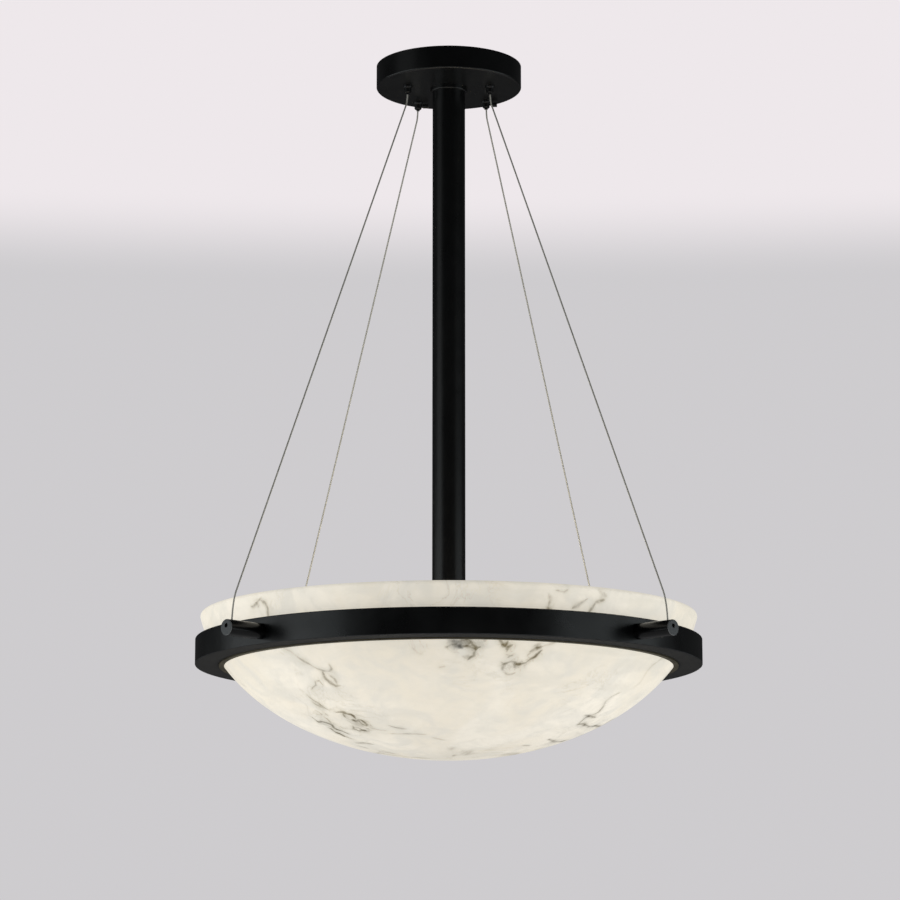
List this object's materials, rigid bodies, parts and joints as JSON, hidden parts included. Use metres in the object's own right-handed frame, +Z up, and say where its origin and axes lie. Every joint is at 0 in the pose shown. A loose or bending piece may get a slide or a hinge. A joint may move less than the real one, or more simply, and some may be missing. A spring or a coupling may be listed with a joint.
{
  "type": "bowl pendant light",
  "caption": "Ceiling pendant: stone bowl in a steel ring that hangs by cables from a round canopy, with a centre tube that carries a lamp cluster.",
  "frame": {"origin": "middle of the ceiling plane, in the top face of the crossbar", "axes": "+Z up into the ceiling, +X to the right and -Y towards the viewer of the picture"},
  "size_m": [0.576, 0.576, 0.8139],
  "materials": {
    "black_powder_coat": "fine matt black powder coat on steel",
    "cluster_black": "satin black paint",
    "gripper_black": "black nickel plate, satin",
    "plunger_black": "black nickel plate, satin",
    "black_screw": "black oxide steel",
    "steel_cable": "stranded stainless steel",
    "alabaster": "honed, translucent, grey-green and brown veins",
    "gasket_silicone": "dark olive-brown silicone",
    "zinc_steel": "zinc plated",
    "earth_green": "green lacquered earth screw",
    "holder_ceramic": "white glazed ceramic",
    "holder_brass": "plain brass",
    "cap_nickel": "bright rolled thread",
    "opal_glass": "opal white, lit"
  },
  "bodies": {
    "fixture": {"cable_back_left": "steel_cable", "cable_back_right": "steel_cable", "cable_front_left": "steel_cable", "cable_front_right": "steel_cable", "cable_rod_back_left": "black_powder_coat", "cable_rod_back_right": "black_powder_coat", "cable_rod_front_left": "black_powder_coat", "cable_rod_front_right": "black_powder_coat", "canopy": "black_powder_coat", "ceiling_crossbar": "zinc_steel", "cluster_body": "cluster_black", "cluster_cover": "cluster_black", "cluster_nipple": "cluster_black", "earth_screw": "earth_green", "finial_nut": "cluster_black", "gripper_back_left": "gripper_black", "gripper_back_right": "gripper_black", "gripper_front_left": "gripper_black", "gripper_front_right": "gripper_black", "gripper_lock_screws": "gripper_black", "gripper_locknuts": "zinc_steel", "holder_contacts": "holder_brass", "holder_nuts": "zinc_steel", "holder_shells": "holder_brass", "holder_studs": "zinc_steel", "lampholder_back": "holder_ceramic", "lampholder_front": "holder_ceramic", "lampholder_left": "holder_ceramic", "lampholder_right": "holder_ceramic", "nipple_locknuts": "zinc_steel", "ring_gasket": "gasket_silicone", "rod_screws": "black_screw", "rod_set_screws": "black_screw", "stem_collar": "black_powder_coat", "stem_tube": "black_powder_coat", "support_ring": "black_powder_coat", "top_nipple": "zinc_steel", "tube_bottom_insert": "zinc_steel", "tube_top_insert": "zinc_steel"},
    "bowl": {"alabaster_bowl": "alabaster"},
    "plunger_front_left": {"release_plunger_front_left": "plunger_black"},
    "plunger_front_right": {"release_plunger_front_right": "plunger_black"},
    "plunger_back_right": {"release_plunger_back_right": "plunger_black"},
    "plunger_back_left": {"release_plunger_back_left": "plunger_black"},
    "bulb_right": {"bulb_cap_right": "cap_nickel", "bulb_glass_right": "opal_glass"},
    "bulb_back": {"bulb_cap_back": "cap_nickel", "bulb_glass_back": "opal_glass"},
    "bulb_left": {"bulb_cap_left": "cap_nickel", "bulb_glass_left": "opal_glass"},
    "bulb_front": {"bulb_cap_front": "cap_nickel", "bulb_glass_front": "opal_glass"}
  },
  "joints": [
    {"name": "bowl_lift", "type": "slide", "parent": "fixture", "child": "bowl", "axis": [0, 0, 1], "range_m": [0, 0.04]},
    {"name": "gripper_release_front_left", "type": "slide", "parent": "fixture", "child": "plunger_front_left", "axis": [0, 0, 1], "range_m": [0, 0.0015], "stiffness_N_per_m": 500, "springref_m": -0.003},
    {"name": "gripper_release_front_right", "type": "slide", "parent": "fixture", "child": "plunger_front_right", "axis": [0, 0, 1], "range_m": [0, 0.0015], "stiffness_N_per_m": 500, "springref_m": -0.003},
    {"name": "gripper_release_back_right", "type": "slide", "parent": "fixture", "child": "plunger_back_right", "axis": [0, 0, 1], "range_m": [0, 0.0015], "stiffness_N_per_m": 500, "springref_m": -0.003},
    {"name": "gripper_release_back_left", "type": "slide", "parent": "fixture", "child": "plunger_back_left", "axis": [0, 0, 1], "range_m": [0, 0.0015], "stiffness_N_per_m": 500, "springref_m": -0.003},
    {"name": "bulb_unscrew_right", "type": "hinge", "parent": "fixture", "child": "bulb_right", "pos_m": [0.072, 0, -0.68], "axis": [1, 0, 0], "range_deg": [0, 1080]},
    {"name": "bulb_unscrew_back", "type": "hinge", "parent": "fixture", "child": "bulb_back", "pos_m": [0, 0.072, -0.68], "axis": [0, 1, 0], "range_deg": [0, 1080]},
    {"name": "bulb_unscrew_left", "type": "hinge", "parent": "fixture", "child": "bulb_left", "pos_m": [-0.072, 0, -0.68], "axis": [-1, 0, 0], "range_deg": [0, 1080]},
    {"name": "bulb_unscrew_front", "type": "hinge", "parent": "fixture", "child": "bulb_front", "pos_m": [0, -0.072, -0.68], "axis": [0, -1, 0], "range_deg": [0, 1080]}
  ]
}
